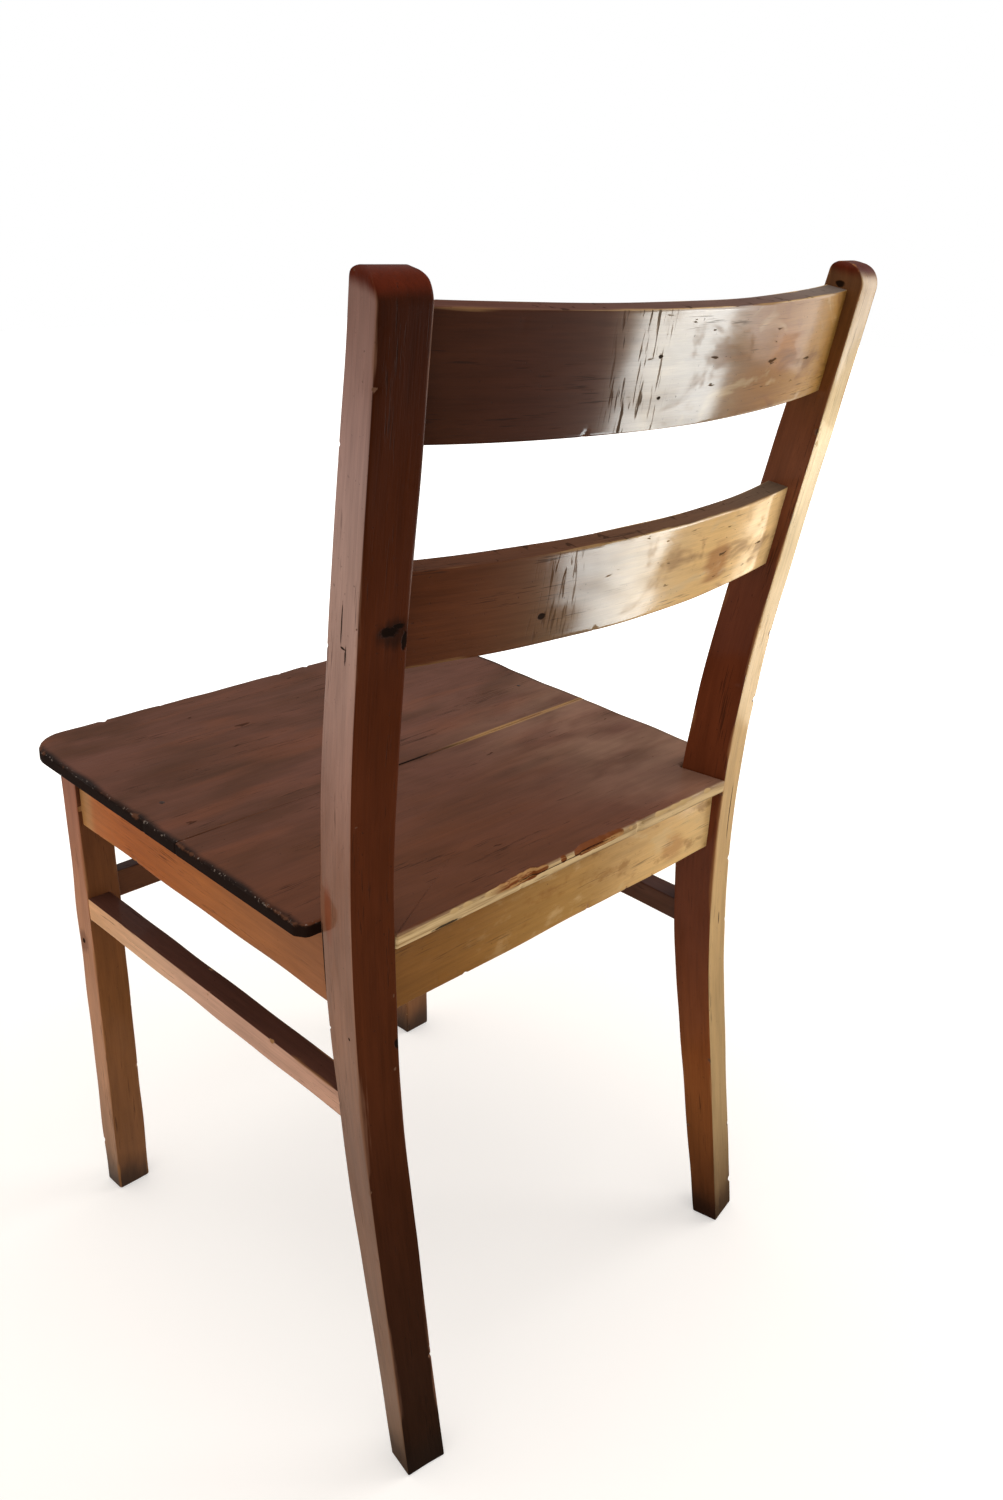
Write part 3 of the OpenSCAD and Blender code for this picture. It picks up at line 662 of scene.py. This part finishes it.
# The outer face lightens from left to right: partly worn varnish, partly painted light and reflection from
# the window side.
outer = amber.shades(amber.along, (0.03, "#7f5427"), (0.09, "#8b5e2b"), (0.15, "#a2773c"),
                     (0.21, "#a87d3e"), (0.26, "#c89f66"), (0.32, "#dbb070"), (0.37, "#e3bd80"))
coloured = amber.sided("#7c5232", right=outer)
smear = amber.patch((0.0088, -0.009, 0.318), (0.006, 0.011, 0.016))
coloured = amber.blend(coloured, "#a3662c", smear * 0.5)
worn = amber.drawn_out(amber.wood, 0.6, 48.0, 4.0, 0.6, 0.15)
coloured = amber.blend(coloured, "#8a5a24", worn.ramp(0.46, 0.32) * 0.55)
coloured = amber.blend(coloured, "#d2b27f", worn.ramp(0.52, 0.68) * amber.along.ramp(0.0, 0.3) * 0.6)
piece.data.materials.append(amber.settle(coloured, "#c4986a", gloss=0.3, rough=0.42, grain=0.8))

front_high = 0.0625
front_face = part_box("front_apron")[0][1]
front_top = seat_level(front_face) - board_thick - 0.0008
inner = leg_low[0] + 0.003
edges = (front_top - front_high, front_top)
grid, fields = rail((-inner, front_face), (inner, front_face), edges, edges, apron_thick,
                    apron_arris, 28, 260)
piece = skin("apron_front", grid, fields, "worn_golden_wood", "front_apron")
amber = OldWood("front_apron_varnish", (0.5, 0.3, 0.1))
coloured = amber.sided("#7c5232", right=amber.shades(amber.along, (0.0, "#9a6238"), (0.35, "#a06a3c")))
piece.data.materials.append(amber.settle(coloured, "#b07c48", gloss=0.14, rough=0.45))


# ---- Stretchers ----
# Three thin rails tenoned between the legs and posts. The right one stands 10 mm higher than the
# left. Their outer faces are rubbed pale, and their tops are coloured darker.

stretcher_high, stretcher_thick, stretcher_arris = 0.0205, 0.021, 0.0014
post_front, stretcher_end = 0.1365, 0.141
for side, label, top in ((1, "left", 0.300), (-1, "right", 0.310)):
    rise = (post_front - leg_high[1]) * math.tan(math.radians(2.4))
    low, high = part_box(f"side_stretcher_{label}")
    outer_rear = high[0] if side > 0 else -low[0]
    grid, fields = rail((leg_high[0] - 0.0008, leg_high[1] - 0.004), (outer_rear, stretcher_end),
                        (top + rise - stretcher_high, top + rise), (top - stretcher_high, top),
                        stretcher_thick, stretcher_arris, 31 + side, 260)
    piece = skin(f"stretcher_{label}", grid * (side, 1, 1), fields, "dark_stained_wood",
                 f"side_stretcher_{label}")
    stretcher_wood = OldWood(f"{label}_stretcher_stain", (0.4, 0.2, 0.5 * side))
    outer = stretcher_wood.shades(stretcher_wood.along, (0.02, "#e0a878"), (0.1, "#dcae8a"), (0.17, "#d3a388"),
                         (0.25, "#d0a188"), (0.34, "#cd9c82"))
    # The up faces are coloured darker than the rest.
    coloured = stretcher_wood.sided("#5c3826", right=outer, up="#5a372c")
    piece.data.materials.append(stretcher_wood.settle(coloured, gloss=0.2, rough=0.5))

low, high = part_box("front_stretcher")
edges = (low[2], high[2])
grid, fields = rail((-inner, low[1]), (inner, low[1]), edges, edges, high[1] - low[1],
                    stretcher_arris, 37, 220)
piece = skin("stretcher_front", grid, fields, "dark_stained_wood", "front_stretcher")
stretcher_wood = OldWood("front_stretcher_stain", (0.6, 0.1, 0.7))
# The up face is coloured darker than the rest.
coloured = stretcher_wood.sided("#6a4129", right="#8f6248", up="#4a2d25")
piece.data.materials.append(stretcher_wood.settle(coloured, gloss=0.2, rough=0.5))


# ---- Back slats ----
# Two boards bent to a bow and let into slots in the posts, raked with them. Their varnish is
# the glossiest on the chair, scratched, and rubbed through to golden wood at the right. Their
# rear faces are painted dark to the left, a painted reflection of the room's dark side, and pale
# in a band right of the middle, a painted highlight where the pane shows in the varnish.

slat_thick, slat_arris = 0.017, 0.0014
slot_depth, set_forward = 0.011, 0.010


def slat(z_top, high, bow, seed):
    """A board that follows a circle in plan: its middle stands bow behind the line between the
    posts, and the whole is tipped back by the rake."""
    half = on_plank(back_edge(z_top) - post_depth(z_top) / 2, post_thick, z_top)[0]
    radius = (half ** 2 + bow ** 2) / (2 * bow)
    turn = np.linspace(1, -1, 300) * math.asin((half + slot_depth) / radius)
    centre = radius * math.cos(math.asin(half / radius))
    tip = np.array([0.0, math.cos(rake), -math.sin(rake)])
    way_b = np.array([[0.0, math.sin(rake), math.cos(rake)]])
    way_a = np.sin(turn)[:, None] * across + np.cos(turn)[:, None] * tip
    back = on_plank(back_edge(z_top), post_thick, z_top)[1] + foot_y - set_forward
    path = (np.array([0, back, z_top]) + (radius - slat_thick / 2) * np.sin(turn)[:, None] * across
            + ((radius - slat_thick / 2) * np.cos(turn) - centre)[:, None] * tip - way_b * high / 2)
    return timber(path, way_a, way_b, slat_thick / 2, high / 2, slat_arris, seed, sides=26, chipped=0.55)


def slat_varnish(label, shift, rear, upper, streaks, patch, holes, dulled):
    """The rear face darkens to the left, a painted reflection of the room's dark side, and its
    shades carry a painted highlight where the pane shows; the top edge has lost its varnish
    along the arris.
    Scratches run across the grain where streaks says, and short nicks along it. patch is an
    orange stain, and past dulled the varnish has lost its shine."""
    varnish = OldWood(f"{label}_slat_varnish", shift)
    stained = varnish.patch(*patch)
    coloured = varnish.sided("#573222", right=varnish.shades(varnish.along, *rear),
                             up=varnish.shades(varnish.along, *upper))
    coloured = varnish.blend(coloured, "#a36a28", stained * 0.85)
    behind = varnish.out_a.ramp(0.5, 0.9)
    amber = varnish.drawn_out(varnish.wood, 0.6, 33.0, 3.0, 0.6, 0.7)
    rubbed = varnish.along.ramp(0.12, 0.27) * behind
    coloured = varnish.blend(coloured, "#74481c", amber.ramp(0.48, 0.3) * rubbed * 0.6)
    coloured = varnish.blend(coloured, "#c9ad80", amber.ramp(0.54, 0.7) * rubbed * 0.5)
    upright = varnish.scratches((0.05, 0.09, 1.0), 420.0, 0.56, 0.66) * streaks(varnish.along) * behind
    nicks = varnish.scratches((1.0, 1.0, 0.25), 240.0, 0.69, 0.73) * varnish.along.ramp(0.14, 0.2)
    frayed = varnish.scratches((0.3, 1.0, 0.6), 260.0, 0.62, 0.7) * varnish.out_b.ramp(0.5, 0.9)
    cuts = (upright * 0.7).either(nicks * 0.75 * behind).either(frayed * 0.6)
    for hole in holes:
        cuts = cuts.either(varnish.spot(*hole))
    gone = (stained * 0.8).either(amber.ramp(0.5, 0.36) * rubbed * 0.75)
    gone = gone.either(varnish.along.ramp(*dulled) * 0.6)
    shiny = behind * (varnish.along.ramp(0.06, 0.15) * 0.65 + 0.35) * (1.0 - gone)
    edge = (varnish.arris * varnish.out_b.ramp(0.0, 0.5) + (varnish.cloud + varnish.streak - 1.0) * 1.4)
    frayed_edge = edge.ramp(0.66, 0.94) * varnish.along.ramp(0.04, 0.24)
    coloured = varnish.blend(coloured, "#bd9a66", frayed_edge * 0.85)
    return varnish.settle(coloured, "#8d6a44", gloss=0.9, rough=varnish.out_b.ramp(0.4, 0.9) * 0.25 + 0.46,
                          cuts=cuts, shiny=shiny, coat_rough=0.12)


grid, fields = slat(z_top=0.822, high=0.071, bow=0.027, seed=41)
piece = skin("slat_top", grid, fields, "worn_golden_wood", "top_slat")
piece.data.materials.append(slat_varnish(
    "top", (0.8, 0.4, 0.2),
    # Rear face: painted dark reflection to 0.13, a painted highlight from 0.15 to 0.25, then worn golden
    # wood.
    ((0.02, "#3f1e0b"), (0.08, "#43200e"), (0.13, "#4a2613"), (0.15, "#664832"), (0.175, "#b09c84"),
     (0.22, "#8a745f"), (0.25, "#8a6c48"), (0.28, "#8f602a"), (0.33, "#946426"), (0.38, "#b08443"),
     (0.42, "#a57838")),
    ((0.05, "#5a3529"), (0.25, "#664b41"), (0.4, "#75665c")),
    lambda along: along.ramp(0.135, 0.15) * along.ramp(0.2, 0.17),
    ((0.0085, 0.004, 0.325), (0.006, 0.016, 0.02)),
    [((0.0085, 0.0085, 0.1804), (0.002, 0.0012, 0.0022), 1.0),
     ((0.0085, -0.016, 0.1864), (0.002, 0.0010, 0.0018), 1.0)], (0.25, 0.31)))
grid, fields = slat(z_top=0.681, high=0.0615, bow=0.020, seed=43)
piece = skin("slat_middle", grid, fields, "worn_golden_wood", "middle_slat")
piece.data.materials.append(slat_varnish(
    "middle", (0.1, 0.7, 0.5),
    # Rear face: painted dark reflection to 0.13, a painted cream highlight, partly worn wood, from 0.17 to
    # 0.3, then worn golden wood.
    ((0.02, "#562a10"), (0.06, "#5f3216"), (0.1, "#613a1e"), (0.13, "#735336"), (0.17, "#8a6e4e"),
     (0.21, "#c9a56f"), (0.25, "#d8b074"), (0.3, "#d6a85f"), (0.34, "#eec485"), (0.4, "#ecc486")),
    ((0.05, "#5c3622"), (0.25, "#61432f"), (0.4, "#65503f")),
    lambda along: along.ramp(0.1, 0.12) * along.ramp(0.16, 0.13) * 0.6,
    ((0.0085, -0.007, 0.3014), (0.006, 0.014, 0.016)),
    [((0.0083, -0.0109, 0.1173), (0.006, 0.0024, 0.0034), 0.5)], (0.36, 0.42)))


# ---- Seat ----
# Two wide boards nailed down side by side across the frame, notched round the posts. Sat hollow,
# their top is a dull purple brown; their ends have gone black and the rear arris has split away
# in splinters of raw wood.

joint_back, joint_gap, seat_depth, seat_half = 0.1926, 0.0002, 0.413, 0.222
tear_start, tear_end = (-0.066, -0.045), (0.1, 0.078)


def on_seat(places):
    """Places on the tilted seat as x, y, z. They're given as x, how far behind the rear edge,
    which is negative on the boards, and how far above the top face."""
    x, y, h = places[..., 0], places[..., 1], places[..., 2]
    return np.stack([x, seat_back_y + y * math.cos(seat_tilt) + h * math.sin(seat_tilt),
                     seat_height - y * math.sin(seat_tilt) + h * math.cos(seat_tilt)], -1)


def corner(before, at, after, radius, count=9):
    """Arc that rounds a corner: it leaves both sides at the same distance from their meeting."""
    before, at, after = np.array(before), np.array(at), np.array(after)
    one = (before - at) / np.linalg.norm(before - at)
    two = (after - at) / np.linalg.norm(after - at)
    half = math.acos(np.clip(one @ two, -1, 1)) / 2
    start, end = at + one * radius / math.tan(half), at + two * radius / math.tan(half)
    middle = at + (one + two) / np.linalg.norm(one + two) * radius / math.sin(half)
    t = np.linspace(0, 1, count)[:, None]
    way = (start - middle) * (1 - t) + (end - middle) * t
    return middle + way / np.linalg.norm(way, axis=1, keepdims=True) * radius


def outline_of(corners, count=1000):
    """A closed outline of even steps through corners, each given as (x, y, radius), and its
    outward directions: the step along it turned a quarter turn."""
    places = [(x, y) for x, y, radius in corners]
    after = places[1:] + places[:1]
    turns = [corner(places[number - 1], places[number], after[number], corners[number][2])
             for number in range(len(places))]
    line = np.concatenate(turns)
    line = np.concatenate([line, line[:1]])
    length = np.concatenate([[0], np.cumsum(np.linalg.norm(np.diff(line, axis=0), axis=1))])
    even = np.linspace(0, length[-1], count, endpoint=False)
    line = np.stack([np.interp(even, length, line[:, axis]) for axis in (0, 1)], -1)
    step = np.roll(line, -2, axis=0) - np.roll(line, 2, axis=0)
    out = np.stack([step[:, 1], -step[:, 0]], -1) / np.linalg.norm(step, axis=1, keepdims=True)
    return line, out


def seat_finish(label, shift):
    """Purple brown above, blotched red, and lighter towards the right rear of the top, a painted
    reflection. The ends of the boards are black with handling, with pale painted glints, a
    painted highlight, on the left one. The rear edge is bare and golden, and the joint is worn to
    yellow at the right. The deepest tear in the rear edge shows red brown wood, the rest pale
    splinters."""
    brown = OldWood(f"{label}_stain", shift)
    blotch = brown.drawn_out(brown.wood, 0.4, 16.0, 3.0, 0.6, 0.6)
    red = brown.drawn_out(brown.wood, 0.2, 34.0, 2.0, 0.5, 0.4)
    top = brown.blend("#50301f", "#653f31", blotch.ramp(0.3, 0.68))
    top = brown.blend(top, "#74422a", red.ramp(0.5, 0.75) * 0.45)
    top = brown.blend(top, "#5f3319", brown.a.ramp(-0.22, -0.05) * brown.along.ramp(-0.18, 0.05) * 0.6)
    side = brown.out_a.ramp(0.3, 0.7)
    behind = brown.a.ramp(-0.006, -0.002)
    end = (abs(brown.along) + brown.cloud * 0.012).ramp(0.221, 0.228)
    top = brown.blend(top, "#150c08", side.either(end) * 0.93)
    # Painted highlight: pale flecks along the left end's arris stand in for glints of light.
    painted_glints = brown.speck.ramp(0.58, 0.66) * brown.arris.ramp(0.4, 0.8) * brown.along.ramp(0.205, 0.218)
    top = brown.blend(top, "#a39488", painted_glints * 0.8)
    golden = brown.blend("#96764a", "#cbae80", brown.streak.ramp(0.3, 0.6))
    coloured = brown.blend(top, golden, (side * behind).either(brown.arris.ramp(0.45, 0.9) * behind * 0.8))
    joint = abs(brown.a + joint_back).ramp(0.0036, 0.0016) * brown.along.ramp(-0.03, -0.09)
    coloured = brown.blend(coloured, "#9b7440", joint * 0.85)
    below = brown.out_b.ramp(0.4, 0.1) * (1.0 - side)
    coloured = brown.blend(coloured, "#7b5d41", below)
    # Painted reflection: the top is lightened towards the right rear, where the varnish mirrors the bright
    # room.
    painted_reflection = brown.along.ramp(0.0, -0.19) * brown.a.ramp(-0.32, -0.16) * brown.cloud.ramp(0.2, 0.7)
    coloured = brown.blend(coloured, "#93705b", painted_reflection * brown.out_b * 0.6)
    crack = brown.spot((-0.0005, -0.0095, 0.137), (0.004, 0.0012, 0.013), 0.8)
    torn = brown.spot((-0.0008, -0.0042, 0.015), (0.004, 0.0005, 0.055), 1.1)
    cuts = (brown.scratches((1.0, 1.0, 0.3), 130.0, 0.72, 0.77) * 0.6).either(crack).either(torn * 0.9)
    deep = brown.along.ramp(*tear_start) * brown.along.ramp(*tear_end)
    splinter = brown.blend("#a67a4a", "#6e3a18", brown.streak.ramp(0.36, 0.5))
    splinter = brown.blend("#b99a6a", splinter, deep)
    return brown.settle(coloured, "#6e4733", gloss=0.1, rough=side * 0.25 + 0.52, cuts=cuts, raw=splinter,
                        grain=0.7, shiny=1.0 - side)


def board(name, corners, node, seed, rear):
    """Rings from the middle of the top face out over the worn arris, down the edge and back under
    to the middle. Inside the arris a ring is the outline drawn in towards the middle; its share
    falls off as a power, so that rings crowd near the edge. The top sinks to a shallow hollow."""
    line, out = outline_of(corners)
    middle = np.array([0.0, (line[:, 1].min() + line[:, 1].max()) / 2])
    flat = np.concatenate([line, 0 * line[:, :1]], -1)
    at_joint = np.exp(-np.abs(line[:, 1] + joint_back) / 0.002)
    worn = uneven(flat, 0.05, seed)
    arris = (0.0024 + 0.0009 * worn) * (1 - 0.7 * at_joint)
    bites = np.clip(uneven(flat, 0.017, seed + 1) - 0.95, 0, 1) * (1 - at_joint)
    split = np.zeros(len(line))
    if rear:
        inside = smooth(0.165 - np.abs(line[:, 0]), 0, 0.006) * (line[:, 1] > -0.004)
        ragged = 0.5 + 0.35 * uneven(flat * (1, 0, 0), 0.05, seed + 2)
        ragged = ragged + 0.3 * uneven(flat * (1, 0, 0), 0.014, seed + 3)
        deep = smooth(line[:, 0], *tear_start) * smooth(-line[:, 0], -tear_end[0], -tear_end[1])
        split = inside * np.clip(ragged, 0.05, 1) * (0.22 + 0.78 * deep)
    share = 1 - (1 - np.linspace(0.02, 1, 46)) ** 2.1
    over = np.linspace(0, math.pi / 2, 7)[1:]
    down = np.linspace(0, 1, 6)[1:-1]
    under = np.linspace(math.pi / 2, 0, 5)
    back = np.linspace(0.97, 0.03, 12)
    lower = 0.0015
    top = middle + (line - out * arris[:, None] - middle)[None] * share[:, None, None]
    top_h = np.zeros(top.shape[:2])
    arc = line[None] - out[None] * (arris * (1 - np.sin(over))[:, None])[..., None]
    arc_h = -arris * (1 - np.cos(over))[:, None]
    edge = np.repeat(line[None], len(down), axis=0)
    edge_h = -arris - (board_thick - lower - arris) * down[:, None]
    foot = line[None] - out[None] * (lower * (1 - np.sin(under))[:, None, None])
    foot_h = np.broadcast_to((-board_thick + lower * (1 - np.cos(under)))[:, None], foot.shape[:2])
    below = middle + (line - out * lower - middle)[None] * back[:, None, None]
    below_h = np.full(below.shape[:2], -board_thick)
    plan = np.concatenate([top, arc, edge, foot, below])
    height = np.concatenate([top_h, arc_h, edge_h, foot_h, below_h])
    places = np.concatenate([plan, height[..., None]], -1)
    reach = np.linalg.norm(plan - line[None], axis=-1)
    upper = smooth(height, -board_thick * 0.6, -0.001)
    hollow = 0.0016 * np.exp(-(plan[..., 0] / 0.15) ** 2 - ((plan[..., 1] + 0.2) / 0.13) ** 2)
    waves = 0.00018 * (1 + uneven(places * (0.35, 1, 1), 0.04, seed + 4))
    near = np.exp(-reach / 0.004)
    at_arris = np.exp(-np.maximum(reach, -height) / 0.0032)
    tear = split[None] * np.clip(1 - reach / (0.0022 + 0.0032 * split), 0, 1) ** 0.7 * upper
    height = height - (hollow + waves + 0.0042 * tear) * upper - 0.0009 * bites * near * upper
    plan = plan - out[None] * ((bites * 0.0022 + 0.0012 * split * upper) * near)[..., None]
    edge_side = np.exp(-reach / 0.003) * smooth(-height, 0.0008, 0.0022)
    places = np.concatenate([plan, height[..., None]], -1)
    wood = np.stack([plan[..., 1], height, plan[..., 0]], -1)
    face = np.stack([edge_side, upper, at_arris], -1)
    marks = np.stack([smooth(tear, 0.03, 0.16), at_arris * smooth(worn, -0.3, 0.9)[None], 0 * near], -1)
    piece = skin(name, on_seat(places), {"wood": wood, "face": face, "marks": marks}, "seat_wood", node)
    piece.data.materials.append(seat_finish(name, (0.1 * seed, 0.0, 0.0)))


# Each corner of a board is a place and the radius that it's rounded to.
joint_front, joint_rear = -joint_back - joint_gap / 2, -joint_back + joint_gap / 2
board("seat_front", [(-seat_half, joint_front, 0.001), (-seat_half, -seat_depth, 0.03),
                     (seat_half, -seat_depth, 0.03), (seat_half, joint_front, 0.001)],
      "seat_board_front", 51, False)

# The notches stand 0.6 mm clear of the posts in front and 0.5 mm at the side.
notch_z = seat_height - board_thick
notch_front = back_edge(notch_z) - post_depth(notch_z) - 0.0006
notch = [on_plank(notch_front, w, seat_height)[:2] + (0, foot_y - seat_back_y)
         for w in (0.0, post_thick + 0.0005)]
inner_way = rearward[:2]
at_rear = notch[1] - inner_way * notch[1][1] / inner_way[1]
wing = notch[0][1]
half_board = [(seat_half, wing, 0.010), (notch[0][0] + 0.001, wing, 0.001),
              (notch[1][0], notch[1][1], 0.0008), (at_rear[0], 0.0, 0.0012)]
other_half = [(-x, y, radius) for x, y, radius in reversed(half_board)]
board("seat_rear", [(-seat_half, joint_rear, 0.001), (seat_half, joint_rear, 0.001),
                    *half_board, *other_half], "seat_board_rear", 57, True)


# ---- Nails ----
# Old wire nails through the boards into the aprons, their heads rusted dark and a little below
# the wood.

rust = bpy.data.materials.new("rusted_nail")
metal = Finish(rust)
place = metal.node("ShaderNodeTexCoord", None, out="Object")
crust = metal.noise(place, 900.0, 3.0, 0.6).ramp(0.4, 0.6)
metal.output(metal.node("ShaderNodeBsdfPrincipled", None, Base_Color=metal.blend("#1a1210", "#4a2c1c", crust),
                        Metallic=crust * -0.5 + 0.6, Roughness=crust * 0.3 + 0.45))
nail_places = [(0.1953, -0.2516), (0.1958, -0.1093), (-0.1953, -0.2515), (-0.1958, -0.1131),
               (0.0883, -0.4), (-0.0074, -0.4), (-0.098, -0.4)]
sunk = 0.0006
turn = np.linspace(0, math.tau, 20, endpoint=False)
radius = np.array([0.0003, 0.0017, 0.0023, 0.0025, 0.0023, 0.0011, 0.0011, 0.0002])
drop = np.array([0.0002, 0.0001, -0.0001, -0.0005, -0.001, -0.0012, -0.029, -0.030]) - sunk
for number, (x, y) in enumerate(nail_places, 1):
    rings = np.stack([x + radius[:, None] * np.cos(turn), y + radius[:, None] * np.sin(turn),
                      np.repeat(drop[:, None], len(turn), axis=1)], -1)
    piece = skin(f"nail_{number}", on_seat(rings), {}, "nail_steel", "seat_nails")
    piece.data.materials.append(rust)
